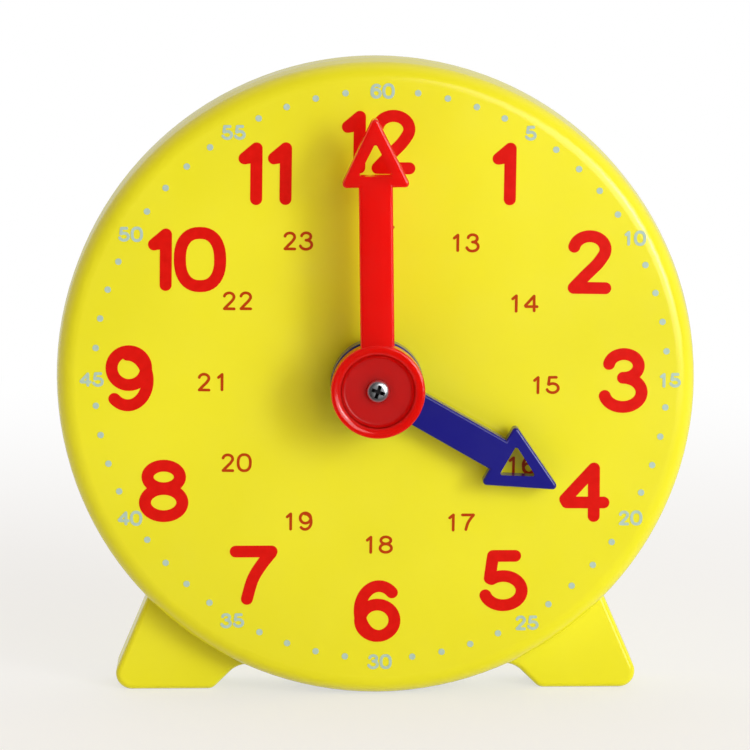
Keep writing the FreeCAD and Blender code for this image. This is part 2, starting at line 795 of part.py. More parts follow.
def friction_spring():
    """A coned spring washer that presses on the minute pinion, so the hands stay where put."""
    body = new_body("friction_spring")
    inner = S.arbor_tail_radius + S.screw_hole_clearance
    low = MINUTE_PINION_BACK + S.end_play / 2
    turn_profile(body, "cone", [
        (inner, low),
        (S.spring_radius, BRIDGE_FRONT - S.spring_thickness),
        (S.spring_radius, BRIDGE_FRONT),
        (inner, low + S.spring_thickness),
    ])
    return body


def gear_bridge():
    """The plate behind the gears, which holds the arbor's tail and the stud's far end."""
    body = new_body("gear_bridge")
    half_bar = S.bridge_bar_width / 2
    half_foot = S.bridge_foot_width / 2
    (_, post_top), (post_side, post_low), _ = bridge_posts()
    top = post_top + S.bridge_margin
    side = post_side + S.bridge_margin
    low = post_low - half_foot
    high = post_low + half_foot
    corners = [
        (-side, low), (side, low), (side, high), (half_bar, high),
        (half_bar, top), (-half_bar, top), (-half_bar, high), (-side, high),
    ]
    extrude(body, "plate", BRIDGE_FRONT, BRIDGE_BACK, outline=corners)
    round_edges(body, "corners", S.bridge_corner_round, lambda edge: any(
        runs_along_depth(edge, *corner) for corner in corners))
    screw_radius = S.bridge_screw_radius + S.screw_hole_clearance
    extrude(body, "holes", BRIDGE_FRONT, BRIDGE_BACK, cut=True, circles=[
        (NIL, NIL, S.arbor_tail_radius + S.running_clearance),
        (NIL, -CENTRE_DISTANCE, S.stud_radius),
        *[(*place, screw_radius) for place in bridge_posts()],
    ])
    return body


# ---------------------------------------------------------------- screws


def screw(label, place, seat, side, radius, length, head_radius, head_height):
    """A screw with a plain head, which lies behind the seat (side 1) or before it (side -1)."""
    body = new_body(label, *place)
    head_top = seat + head_height * side
    turn_profile(body, "screw", [
        (NIL, head_top),
        (head_radius, head_top),
        (head_radius, seat),
        (radius, seat),
        (radius, seat - length * side),
        (NIL, seat - length * side),
    ])
    return body


def hand_screw():
    return screw("hand_screw", (NIL, NIL), DISH_FLOOR, -1, S.hand_screw_radius,
                 S.hand_screw_length, S.hand_screw_head_radius, S.hand_screw_head_height)


def screw_group(label, places, seat, radius, length, head_radius, head_height):
    """Alike screws with their heads behind their seat, as one group of separate solids."""
    screws = [
        screw(f"{label}_{number}", place, seat, 1, radius, length, head_radius, head_height)
        for number, place in enumerate(places, start=1)
    ]
    group = doc.addObject("Part::Compound", label)
    group.Label = label
    group.Links = screws
    doc.recompute()
    return group


def housing_screws():
    places = []
    for number in range(round(S.post_count.value)):
        angle = (Size(180.0, "180") + Size(360.0 * number, repr(360.0 * number))) / S.post_count
        places.append((POST_CIRCLE_RADIUS * sine(angle), POST_CIRCLE_RADIUS * cosine(angle)))
    return screw_group("housing_screws", places, RECESS_FLOOR, S.housing_screw_radius,
                       S.housing_screw_length, S.housing_screw_head_radius,
                       S.housing_screw_head_height)


def bridge_screws():
    return screw_group("bridge_screws", bridge_posts(), BRIDGE_BACK, S.bridge_screw_radius,
                       S.bridge_screw_length, S.bridge_screw_head_radius,
                       S.bridge_screw_head_height)


# ---------------------------------------------------------------- the part


def check_and_write(pieces):
    """Stop if a feature failed, then write one STEP file for each piece."""
    doc.recompute()
    for thing in doc.Objects:
        if "Invalid" in thing.State or "Error" in thing.State:
            raise RuntimeError(f"{thing.Label} failed: {thing.State}")
    for piece in pieces:
        if piece.Shape.isNull() or not piece.Shape.isValid() or not piece.Shape.Solids:
            raise RuntimeError(f"{piece.Label} has no valid solid")
    os.makedirs("parts", exist_ok=True)
    for piece in pieces:
        piece.Shape.exportStep(f"parts/{piece.Label}.step")
        box = piece.Shape.BoundBox
        print(
            f"{piece.Label}: {len(piece.Shape.Solids)} solid(s), "
            f"{piece.Shape.Volume:.1f} mm3, "
            f"X {box.XMin:.2f}..{box.XMax:.2f} Y {box.YMin:.2f}..{box.YMax:.2f} "
            f"Z {box.ZMin:.2f}..{box.ZMax:.2f}"
        )


check_and_write([
    dial_shell(),
    rear_housing(),
    hour_washer(),
    hour_wheel(),
    minute_arbor(),
    minute_pinion(),
    gear_stud(),
    middle_gear(),
    friction_spring(),
    gear_bridge(),
    bridge_screws(),
    hour_hand(),
    minute_hand(),
    hand_screw(),
    housing_screws(),
])
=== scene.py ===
"""Geared teaching clock: moulded and printed finishes, cross-head screws, and a plain studio."""

import math
from itertools import product

import bmesh
import bpy
from bpy.props import FloatProperty, FloatVectorProperty, PointerProperty
from mathutils import Matrix, Vector


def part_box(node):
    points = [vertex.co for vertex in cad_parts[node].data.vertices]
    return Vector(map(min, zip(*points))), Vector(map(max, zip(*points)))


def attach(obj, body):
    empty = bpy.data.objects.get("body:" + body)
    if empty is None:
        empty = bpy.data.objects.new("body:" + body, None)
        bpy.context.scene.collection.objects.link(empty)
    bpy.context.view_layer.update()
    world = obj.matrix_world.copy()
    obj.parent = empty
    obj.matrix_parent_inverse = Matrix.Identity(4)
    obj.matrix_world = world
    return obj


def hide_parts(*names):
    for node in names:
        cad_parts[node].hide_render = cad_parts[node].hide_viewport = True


bl_info = {
    "name": "Geared Teaching Clock",
    "version": (1, 0, 0),
    "blender": (4, 5, 0),
    "location": "View3D > Sidebar > Clock",
    "description": "Dresses the teaching clock: plastics, printed dial, screws and studio",
    "category": "Object",
}

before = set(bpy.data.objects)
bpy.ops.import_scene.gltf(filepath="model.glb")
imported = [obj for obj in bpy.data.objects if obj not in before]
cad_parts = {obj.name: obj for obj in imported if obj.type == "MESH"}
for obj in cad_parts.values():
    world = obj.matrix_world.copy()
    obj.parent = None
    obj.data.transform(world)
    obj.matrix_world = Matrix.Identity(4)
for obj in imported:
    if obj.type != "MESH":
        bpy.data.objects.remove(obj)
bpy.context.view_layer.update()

MM = 0.001
SLIVERS = (0.002 * MM, 0.001 * MM, 0.0005 * MM, 0.0002 * MM)  # gaps to merge, widest first
CASE_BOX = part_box("dial_shell")
DIAL_BOSS_HEIGHT = 1.8 * MM
DIAL_Y = CASE_BOX[0].y + DIAL_BOSS_HEIGHT
AXIS_X = (CASE_BOX[0].x + CASE_BOX[1].x) / 2
AXIS_Z = (CASE_BOX[0].z + CASE_BOX[1].z) / 2

MERGED = 0.0005 * MM  # points nearer than this are one point
FLAT_TURNS = (0.5, 0.1)  # faces that turn less than this, in degrees, are one flat face

DISH_RIM_RADIUS = 5.9 * MM
DISH_FLOOR_RADIUS = 5.3 * MM
DISH_DEPTH = 1.4 * MM
DISH_FOOT_ROUND = 0.3 * MM
DISH_RIM_ROUND = 0.8 * MM
GLOW_DEPTH = 10.0 * MM

HUB_SCREW_HEAD_RADIUS = 1.7 * MM
HUB_SCREW_HEAD_HEIGHT = 1.1 * MM
HUB_SCREW_SHANK_RADIUS = 1.0 * MM
HUB_SCREW_RECESS = 0.9 * MM
HUB_SCREW_TURN = math.radians(20)

CASE_SCREW_HEAD_RADIUS = 2.4 * MM
CASE_SCREW_HEAD_HEIGHT = 1.7 * MM
CASE_SCREW_SHANK_RADIUS = 1.2 * MM
CASE_SCREW_RECESS = 1.2 * MM

# Lamps: swing and rise in degrees, then distance, width and height in metres.
KEY_LAMP = (31, 13, 0.87, (0.7, 0.6))
KEY_CORE = (41, 13, 0.85, (0.18, 0.3))
FLOOR_RADIUS = 0.45
FLOOR_DROP = 0.02 * MM
SENSOR_WIDTH = 36.0
CAMERA_SHIFT = (-0.0021, 0.0095)


def linear(code):
    """The linear red, green and blue of an sRGB hex colour."""
    values = [int(code[i:i + 2], 16) / 255 for i in (1, 3, 5)]
    return [v / 12.92 if v <= 0.04045 else ((v + 0.055) / 1.055) ** 2.4 for v in values]


def colour(name, description, code):
    return FloatVectorProperty(
        name=name, description=description, subtype="COLOR", size=3, min=0.0, max=1.0,
        default=linear(code))


def length(name, description, millimetres):
    return FloatProperty(
        name=name, description=description, subtype="DISTANCE", unit="LENGTH", min=0.0,
        default=millimetres * MM)


def angle(name, description, degrees):
    return FloatProperty(
        name=name, description=description, subtype="ANGLE", default=math.radians(degrees))


# ------------------------------------------------------------- what a user would change


class ClockFinish(bpy.types.PropertyGroup):
    """Colours and gloss of the clock's own materials."""
    case_yellow: colour("Case", "Yellow ABS of both housing shells", "#F1EE2A")
    minute_red: colour("Minute hand", "Red ABS of the minute hand", "#DD1007")
    # A darker red than the hand's, put on everything inside the dish.
    dish_red: colour("Hub dish", "Matt red floor of the minute hand's dished hub", "#C80905")
    hour_blue: colour("Hour hand", "Dark blue ABS of the hour hand", "#1C1B89")
    gear_white: colour("Gears", "Natural acetal of the gears", "#EDEDE6")
    zinc: colour("Steel", "Bright zinc plate on steel pieces", "#E0E1E3")
    hour_ink: colour("Hour ink", "Red ink of the large numbers", "#DF1108")
    day_ink: colour("Day ink", "Brown-red ink of the 24-hour numbers", "#BC4005")
    minute_ink: colour("Minute ink", "Pale blue ink of the minute marks", "#B4D2CC")
    case_gloss: FloatProperty(
        name="Case roughness", description="Mean roughness of the polished housing",
        min=0.0, max=1.0, default=0.2)
    hand_gloss: FloatProperty(
        name="Hand roughness", description="Mean roughness of the polished hands",
        min=0.0, max=1.0, default=0.14)


class ClockPrint(bpy.types.PropertyGroup):
    """Sizes of what is printed on the dial."""
    ink_height: length("Ink height", "How far the print stands proud of the dial", 0.05)
    ink_root: length("Ink root", "How far the print reaches into the dial", 0.02)
    hour_stroke: length("Hour stroke", "Width of the large numbers' lines", 1.86)
    day_height: length("Day number height", "Height of the 24-hour numbers", 2.85)
    day_stroke: length("Day stroke", "Width of the 24-hour numbers' lines", 0.43)
    day_pitch: length("Day pitch", "Step between the digits of a 24-hour number", 2.57)
    label_height: length("Minute number height", "Height of the minute numbers", 2.3)
    label_stroke: length("Minute stroke", "Width of the minute numbers' lines", 0.45)
    label_pitch: length("Minute pitch", "Step between the digits of a minute number", 1.95)
    dot_diameter: length("Minute dot", "Diameter of a minute dot", 1.0)
    dot_circle: length("Dot circle", "Radius of the circle of minute dots", 44.6)
    print_shift_x: length("Print shift X", "How far the print is off centre to the right", 0.73)
    print_shift_z: length("Print shift Z", "How far the print is off centre upwards", 0.77)


class ClockStudio(bpy.types.PropertyGroup):
    """The camera and lamps of the plain studio."""
    camera_distance: length("Camera distance", "From the dial's centre to the camera", 700.0)
    camera_rise: angle("Camera rise", "Camera's angle above the horizon", 8.2)
    camera_swing: angle("Camera swing", "Camera's angle to the right of the dial's axis", -1.3)
    camera_lens: FloatProperty(
        name="Lens", description="Focal length on a 36 mm sensor", unit="CAMERA",
        min=1.0, default=215.9)
    key_power: FloatProperty(
        name="Key lamp", description="Power of the wide soft box at the front right",
        unit="POWER", min=0.0, default=4.05)
    core_power: FloatProperty(
        name="Key core", description="Power of the soft box's brighter side",
        unit="POWER", min=0.0, default=1.6)
    front_tint: colour("Front tint", "Warm tint of the room's light on the dial", "#FFD79C")
    room_front: FloatProperty(
        name="Front light", description="Strength of the room's light on the dial", min=0.0,
        default=0.3)
    room_back: FloatProperty(
        name="Backdrop light", description="Strength of the light off the white backdrop",
        min=0.0, default=1.0)


SETTINGS = {
    "clock_finish": ClockFinish,
    "clock_print": ClockPrint,
    "clock_studio": ClockStudio,
}

# ------------------------------------------------------------- materials


def new_material(name):
    """A named material with its shader, ready for nodes: (material, shader)."""
    material = bpy.data.materials.new(name)
    material.use_nodes = True
    return material, material.node_tree.nodes["Principled BSDF"]


def add_node(tree, kind, settings=None, values=None, links=None):
    """Add a node, set its properties and socket values, and feed its inputs."""
    node = tree.nodes.new(kind)
    for name, value in (settings or {}).items():
        setattr(node, name, value)
    for name, value in (values or {}).items():
        node.inputs[name].default_value = value
    for name, source in (links or {}).items():
        tree.links.new(source, node.inputs[name])
    return node


def per_metre(millimetres):
    """A noise texture's scale for features of this size."""
    return 1.0 / (millimetres * MM)


def moulded_plastic(name, base, ior=1.53, gloss=0.16, peel=0.06, shade=0.05):
    """Injection-moulded plastic: faint flow shading, a handled gloss and fine orange peel."""
    material, shader = new_material(name)
    tree = material.node_tree
    place = add_node(tree, "ShaderNodeTexCoord").outputs["Object"]
    flow = add_node(tree, "ShaderNodeTexNoise", values={
        "Scale": per_metre(35), "Detail": 2.0, "Roughness": 0.4}, links={"Vector": place})
    tint = add_node(tree, "ShaderNodeMapRange", values={
        "From Min": 0.3, "From Max": 0.7, "To Min": 1.0 - shade, "To Max": 1.0 + shade},
        links={"Value": flow.outputs["Fac"]})
    dyed = add_node(tree, "ShaderNodeVectorMath", {"operation": "SCALE"},
                    links={"Scale": tint.outputs["Result"]})
    dyed.inputs[0].default_value = base
    tree.links.new(dyed.outputs["Vector"], shader.inputs["Base Color"])
    handled = add_node(tree, "ShaderNodeTexNoise", values={
        "Scale": per_metre(9), "Detail": 5.0, "Roughness": 0.62}, links={"Vector": place})
    polish = add_node(tree, "ShaderNodeMapRange", values={
        "From Min": 0.32, "From Max": 0.72, "To Min": gloss - 0.03, "To Max": gloss + 0.07},
        links={"Value": handled.outputs["Fac"]})
    tree.links.new(polish.outputs["Result"], shader.inputs["Roughness"])
    # Orange peel is finer than this on real parts; it is drawn coarse enough to show.
    skin = add_node(tree, "ShaderNodeTexNoise", values={
        "Scale": per_metre(1.6), "Detail": 3.0}, links={"Vector": place})
    relief = add_node(tree, "ShaderNodeBump", values={
        "Strength": peel, "Distance": 0.05 * MM}, links={"Height": skin.outputs["Fac"]})
    tree.links.new(relief.outputs["Normal"], shader.inputs["Normal"])
    shader.inputs["IOR"].default_value = ior
    return material


def let_light_through(material, weight, depth):
    """Make a thin moulding glow: red light passes this deep into it, the rest hardly."""
    shader = material.node_tree.nodes["Principled BSDF"]
    shader.inputs["Subsurface Weight"].default_value = weight
    shader.inputs["Subsurface Radius"].default_value = (1.0, 0.08, 0.04)
    shader.inputs["Subsurface Scale"].default_value = depth


def glossy_abs(name, base, gloss):
    # Polished-tool ABS: a clear, slightly soft highlight over an even, saturated body colour.
    return moulded_plastic(name, base, gloss=gloss)


def spark_textured_abs(name, base):
    # The hub's dish comes from a spark-eroded tool: a fine, even, matt grain.
    material = moulded_plastic(name, base, gloss=0.36, peel=0.3, shade=0.03)
    material.node_tree.nodes["Principled BSDF"].inputs["Specular IOR Level"].default_value = 0.3
    return material


def natural_acetal(name, base):
    # Unpigmented acetal: waxy, slightly warm white with a soft sheen.
    return moulded_plastic(name, base, ior=1.48, gloss=0.34, peel=0.1, shade=0.03)


def pad_printed_ink(name, base):
    """Pad-printed ink: thinner patches let the coat vary, and its dry skin dulls the gloss."""
    # To the eye it is an even, slightly patchy colour, a little flatter than the plastic.
    # The patches are drawn 1.2 mm wide, which is coarse enough to show.
    material, shader = new_material(name)
    tree = material.node_tree
    place = add_node(tree, "ShaderNodeTexCoord").outputs["Object"]
    coat = add_node(tree, "ShaderNodeTexNoise", values={
        "Scale": per_metre(1.2), "Detail": 4.0}, links={"Vector": place})
    thickness = add_node(tree, "ShaderNodeMapRange", values={
        "From Min": 0.3, "From Max": 0.7, "To Min": 0.93, "To Max": 1.04},
        links={"Value": coat.outputs["Fac"]})
    dyed = add_node(tree, "ShaderNodeVectorMath", {"operation": "SCALE"},
                    links={"Scale": thickness.outputs["Result"]})
    dyed.inputs[0].default_value = base
    tree.links.new(dyed.outputs["Vector"], shader.inputs["Base Color"])
    dry = add_node(tree, "ShaderNodeMapRange", values={
        "To Min": 0.13, "To Max": 0.24}, links={"Value": coat.outputs["Fac"]})
    tree.links.new(dry.outputs["Result"], shader.inputs["Roughness"])
    relief = add_node(tree, "ShaderNodeBump", values={
        "Strength": 0.15, "Distance": 0.02 * MM}, links={"Height": coat.outputs["Fac"]})
    tree.links.new(relief.outputs["Normal"], shader.inputs["Normal"])
    shader.inputs["Specular IOR Level"].default_value = 0.3
    return material


def zinc_plated_steel(name, base):
    """Bright zinc plate: a metal whose tone and polish vary in small patches."""
    # To the eye it is a pale, clean mirror broken by slightly duller spots of about 1.5 mm.
    material, shader = new_material(name)
    tree = material.node_tree
    place = add_node(tree, "ShaderNodeTexCoord").outputs["Object"]
    patch = add_node(tree, "ShaderNodeTexNoise", values={
        "Scale": per_metre(1.5), "Detail": 4.0}, links={"Vector": place})
    tone = add_node(tree, "ShaderNodeMapRange", values={
        "From Min": 0.3, "From Max": 0.7, "To Min": 0.9, "To Max": 1.05},
        links={"Value": patch.outputs["Fac"]})
    dyed = add_node(tree, "ShaderNodeVectorMath", {"operation": "SCALE"},
                    links={"Scale": tone.outputs["Result"]})
    dyed.inputs[0].default_value = base
    tree.links.new(dyed.outputs["Vector"], shader.inputs["Base Color"])
    polish = add_node(tree, "ShaderNodeMapRange", values={
        "To Min": 0.2, "To Max": 0.4}, links={"Value": patch.outputs["Fac"]})
    tree.links.new(polish.outputs["Result"], shader.inputs["Roughness"])
    relief = add_node(tree, "ShaderNodeBump", values={
        "Strength": 0.1, "Distance": 0.02 * MM}, links={"Height": patch.outputs["Fac"]})
    tree.links.new(relief.outputs["Normal"], shader.inputs["Normal"])
    shader.inputs["Metallic"].default_value = 1.0
    return material


# ------------------------------------------------------------- pieces


def new_piece(name, mesh, body, slot, *materials):
    """A finished mesh as a piece that rides on a body."""
    piece = bpy.data.objects.new(name, mesh)
    bpy.context.scene.collection.objects.link(piece)
    for material in materials:
        mesh.materials.append(material)
    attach(piece, body)
    return piece


def mesh_from(bm, name):
    mesh = bpy.data.meshes.new(name)
    bm.to_mesh(mesh)
    bm.free()
    return mesh


def shade_rounds(bm, crease=math.radians(34)):
    """Smooth every face and keep the edges sharper than the crease angle."""
    for face in bm.faces:
        face.smooth = True
    for edge in bm.edges:
        edge.smooth = edge.calc_face_angle(0.0) < crease


def keep_flats(piece):
    """Weight the normals by area, so that flat faces stay flat beside their rounds."""
    weighted = piece.modifiers.new("flat faces", "WEIGHTED_NORMAL")
    weighted.mode = "FACE_AREA"
    weighted.keep_sharp = True


def smooth_copy(node):
    """The node's own shape as a bmesh with joined triangles and smooth rounds."""
    bm = bmesh.new()
    bm.from_mesh(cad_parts[node].data)
    bmesh.ops.remove_doubles(bm, verts=bm.verts, dist=MERGED)
    for layer in list(bm.loops.layers.uv):
        bm.loops.layers.uv.remove(layer)
    shade_rounds(bm)
    return bm


def dress_node(node, name, body, slot, *materials):
    """Stand a smooth copy of a CAD node in its place."""
    piece = new_piece(name, mesh_from(smooth_copy(node), name), body, slot, *materials)
    keep_flats(piece)
    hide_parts(node)
    return piece


def paint_node(node, material):
    """Give a CAD node that keeps its own mesh a finish."""
    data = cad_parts[node].data
    data.materials.clear()
    data.materials.append(material)


def soften_dish(mesh, hub_front):
    """Round the dish's rim and foot, and give everything inside it the second material."""
    near = 0.06 * MM
    bm = bmesh.new()
    bm.from_mesh(mesh)

    def ring(radius, sunk):
        return [edge for edge in bm.edges if all(
            abs(math.hypot(vert.co.x - AXIS_X, vert.co.z - AXIS_Z) - radius) < near
            and abs(vert.co.y - hub_front - sunk) < near for vert in edge.verts)]

    for edges, size in ((ring(DISH_FLOOR_RADIUS, DISH_DEPTH), DISH_FOOT_ROUND),
                        (ring(DISH_RIM_RADIUS, 0.0), DISH_RIM_ROUND)):
        if not edges:
            raise RuntimeError("the minute hand has no dish to soften")
        bmesh.ops.bevel(bm, geom=edges, offset=size, segments=5, profile=0.5, affect="EDGES",
                        material=-1)
    shade_rounds(bm)
    for face in bm.faces:
        middle = face.calc_center_median()
        across = math.hypot(middle.x - AXIS_X, middle.z - AXIS_Z)
        sunk = middle.y - hub_front
        if across < DISH_RIM_RADIUS and 0.3 * MM < sunk < DISH_DEPTH + near:
            face.material_index = 1
    bm.to_mesh(mesh)
    bm.free()


# ------------------------------------------------------------- drawn numbers


def arc(x, y, wide, high, start, end, steps=40, square=2.0):
    """Points on an upright ellipse between two angles in degrees. Above 2 it is squarer."""
    angles = [math.radians(start + (end - start) * i / steps) for i in range(steps + 1)]
    points = [(x + wide * math.copysign(abs(math.cos(a)) ** (2 / square), math.cos(a)),
               y + high * math.copysign(abs(math.sin(a)) ** (2 / square), math.sin(a)))
              for a in angles]
    return points[:-1] + points[:1] if abs(end - start) == 360 else points


def bend(points, steps=8):
    """A smooth line through points, straight at both ends."""
    path = [points[0], *points, points[-1]]
    out = []
    for a, b, c, d in zip(path, path[1:], path[2:], path[3:]):
        for i in range(steps):
            t = i / steps
            out.append(tuple(
                0.5 * (2 * q + (r - p) * t + (2 * p - 5 * q + 4 * r - s) * t * t
                       + (3 * q - p - 3 * r + s) * t ** 3)
                for p, q, r, s in zip(a, b, c, d)))
    return out + [points[-1]]


# Each digit is a few centre lines, in millimetres about its middle, for 9.7 mm numbers.
DIGIT_HEIGHT = 9.75
DIGITS = {
    "0": [arc(0, 0, 3.12, 4.15, 0, 360, square=2.35)],
    "1": [[(-1.0, 2.37), (0.86, 3.92), (0.75, -3.94)]],
    "2": [arc(0.05, 1.99, 2.45, 2.06, 168, -35)
          + bend([(1.9, 0.55), (1.14, -0.42), (-0.57, -2.09), (-2.4, -4.0)]) + [(2.51, -4.08)]],
    "3": [arc(-0.05, 2.23, 2.33, 1.87, 170, -90), [(-0.1, 0.36), (0.9, 0.36)],
          arc(-0.16, -1.93, 2.92, 2.3, 90, -166)],
    "4": [[(1.49, -3.77), (1.49, 3.77), (-2.98, -1.09), (-2.71, -1.59), (3.01, -1.63)]],
    "5": [[(1.69, 3.97), (-1.77, 3.97), (-2.28, 0.43)]
          + arc(-0.18, -1.56, 2.92, 2.33, 128, -162)],
    "6": [arc(0.39, -0.01, 3.03, 3.97, 48, 270), arc(0.12, -1.49, 2.7, 2.51, 0, 360)],
    "7": [[(-2.86, 3.87), (2.75, 3.87)]
          + bend([(2.62, 3.6), (1.15, 1.73), (-0.21, -0.56), (-1.14, -3.67)])],
    "8": [arc(0.09, 2.26, 2.53, 1.79, 0, 360), arc(0.05, -1.78, 2.92, 2.16, 0, 360)],
    "9": [arc(-0.25, -0.14, 3.11, 3.97, -132, 90), arc(-0.05, 1.73, 2.68, 2.65, 0, 360)],
}
ONE_FLAG = [(-1.0, 2.37), (0.4, 2.62)]  # fills under the bold 1's flag

# Middle of each digit on the dial, in millimetres right of and above the dial's centre.
HOUR_PLACES = {
    1: (19.88, 32.47), 2: (33.03, 18.7), 3: (38.57, 0.19), 4: (32.49, -17.51),
    5: (20.02, -31.53), 6: (-0.01, -36.25), 7: (-19.17, -30.57), 8: (-33.28, -17.1),
    9: (-38.45, 0.59), 10: (-29.25, 19.27), 11: (-17.07, 32.6), 12: (0.3, 37.45),
}
# How far each digit of a two-digit hour stands from the middle of its number.
HOUR_SPREAD = {10: (-4.2, 1.9), 11: (-2.31, 2.23), 12: (-3.72, 2.26)}
DAY_PLACES = {
    13: (13.64, 21.78), 14: (22.75, 12.27), 15: (26.2, -0.55), 16: (22.42, -13.2),
    17: (13.04, -22.21), 18: (0.14, -25.7), 19: (-12.38, -21.95), 20: (-21.92, -12.62),
    21: (-25.56, 0.09), 22: (-21.59, 12.81), 23: (-12.17, 22.13), 24: (0.37, 24.73),
}
LABEL_PLACES = {
    60: (0.88, 45.34), 5: (23.88, 38.77), 10: (39.92, 22.42), 15: (45.6, 0.14),
    20: (39.69, -21.6), 25: (23.6, -38.24), 30: (0.46, -44.34), 35: (-22.59, -37.67),
    40: (-38.51, -21.35), 45: (-44.25, 0.55), 50: (-38.07, 23.23), 55: (-22.04, 38.98),
}
# The printing plate's groups of four dots each sit a little round from true, in degrees.
DOT_GROUP_TURNS = (1.33, 1.36, 0.94, 0.3, -0.05, -0.27, 1.35, 1.09, 0.42, 0.09, -0.34, -1.09)


def stroke(points, low, high):
    """A pen stroke's centre line as a thin upright strip between two depths."""
    closed = points[0] == points[-1]
    bm = bmesh.new()
    line = [bm.verts.new((x, low, z)) for x, z in (points[:-1] if closed else points)]
    for a, b in zip(line, line[1:] + line[:1] if closed else line[1:]):
        bm.edges.new((a, b))
    raised = bmesh.ops.extrude_edge_only(bm, edges=bm.edges[:])
    top = [item for item in raised["geom"] if isinstance(item, bmesh.types.BMVert)]
    bmesh.ops.translate(bm, verts=top, vec=(0, high - low, 0))
    bmesh.ops.recalc_face_normals(bm, faces=bm.faces)
    return mesh_from(bm, "stroke")


def disc(x, z, radius, low, high, sides=28):
    """A short cylinder that faces along Y, between two depths."""
    bm = bmesh.new()
    bmesh.ops.create_cone(
        bm, cap_ends=True, segments=sides, radius1=radius, radius2=radius, depth=abs(high - low),
        matrix=Matrix.Translation((x, (low + high) / 2, z)) @ Matrix.Rotation(math.pi / 2, 4, "X"))
    return mesh_from(bm, "dot")


def joined(solids, operation="UNION", width=0.0):
    """The first solid united with, or cut by, the others. Strips first get their width."""
    scene = bpy.context.scene
    others = bpy.data.collections.new("others")
    scene.collection.children.link(others)
    helpers = [bpy.data.objects.new("helper", mesh) for mesh in solids]
    for helper in helpers:
        (others if helper != helpers[0] else scene.collection).objects.link(helper)
        if helper.data.name.startswith("stroke"):
            thick = helper.modifiers.new("width", "SOLIDIFY")
            thick.thickness, thick.offset, thick.use_even_offset = width, 0.0, True
    if len(helpers) > 1:
        combine = helpers[0].modifiers.new("combine", "BOOLEAN")
        combine.operation, combine.solver = operation, "EXACT"
        combine.operand_type, combine.collection = "COLLECTION", others
    bpy.context.view_layer.update()
    graph = bpy.context.evaluated_depsgraph_get()
    result = bpy.data.meshes.new_from_object(helpers[0].evaluated_get(graph))
    for helper in helpers:
        mesh = helper.data
        bpy.data.objects.remove(helper)
        bpy.data.meshes.remove(mesh)
    bpy.data.collections.remove(others)
    merge_slivers(result)
    return result


def merge_slivers(mesh):
    """Merge the slivers that a cut leaves. Where no merge keeps the solid closed, it stays as cut.

    The cut's triangles vary a little from run to run, so one gap doesn't suit them all."""
    for flat, gap in product(FLAT_TURNS, SLIVERS):
        bm = bmesh.new()
        bm.from_mesh(mesh)
        bmesh.ops.dissolve_limit(bm, verts=bm.verts, edges=bm.edges,
                                 angle_limit=math.radians(flat))
        bmesh.ops.remove_doubles(bm, verts=bm.verts, dist=gap)
        for _ in range(3):
            bmesh.ops.dissolve_degenerate(bm, edges=bm.edges, dist=gap)
            bmesh.ops.triangulate(bm, faces=bm.faces, quad_method="BEAUTY", ngon_method="BEAUTY")
        closed = all(edge.is_manifold for edge in bm.edges)
        if closed:
            bm.to_mesh(mesh)
        bm.free()
        if closed:
            return


def smooth_runs(points):
    """Divide a line at its sharp corners, so that each run bends gently."""
    runs, run = [], [points[0]]
    for before, here, after in zip(points, points[1:], points[2:]):
        run.append(here)
        first = Vector((here[0] - before[0], here[1] - before[1]))
        second = Vector((after[0] - here[0], after[1] - here[1]))
        if first.angle(second, 0.0) > 0.5:
            runs.append(run)
            run = [here]
    return runs + [run + [points[-1]]]


def draw_digit(digit, height, width, bold):
    """One digit as a thin printed solid about its own middle."""
    ink = bpy.context.scene.clock_print
    low, high = DIAL_Y + ink.ink_root, DIAL_Y - ink.ink_height
    scale = (height - width) / (DIGIT_HEIGHT * MM - ink.hour_stroke) * MM
    lines = DIGITS[digit] + ([ONE_FLAG] if bold and digit == "1" else [])
    runs = [run for line in lines
            for run in smooth_runs([(x * scale, y * scale) for x, y in line])]
    ends = {end for run in runs if run[0] != run[-1] for end in (run[0], run[-1])}
    solids = [stroke(run, low, high) for run in runs]
    solids += [disc(x, z, width / 2, low, high) for x, z in sorted(ends)]
    return joined(solids, width=width)


def print_numbers(name, places, height, width, pitch, material, spread=None, bold=False):
    """All numbers of one kind as one printed piece on the dial."""
    digits = {d: draw_digit(d, height, width, bold)
              for d in sorted(set("".join(str(number) for number in places)))}
    bm = bmesh.new()
    for number, (x, z) in places.items():
        text = str(number)
        steps = (spread or {}).get(number)
        for index, digit in enumerate(text):
            side = steps[index] * MM if steps else (index - (len(text) - 1) / 2) * pitch
            known = len(bm.verts)
            bm.from_mesh(digits[digit])
            bm.verts.ensure_lookup_table()
            bmesh.ops.translate(bm, verts=bm.verts[known:],
                                vec=(AXIS_X + x * MM + side, 0, AXIS_Z + z * MM))
    for mesh in digits.values():
        bpy.data.meshes.remove(mesh)
    return new_piece(name, mesh_from(bm, name), "case", "case_plastic", material)


# ------------------------------------------------------------- screws


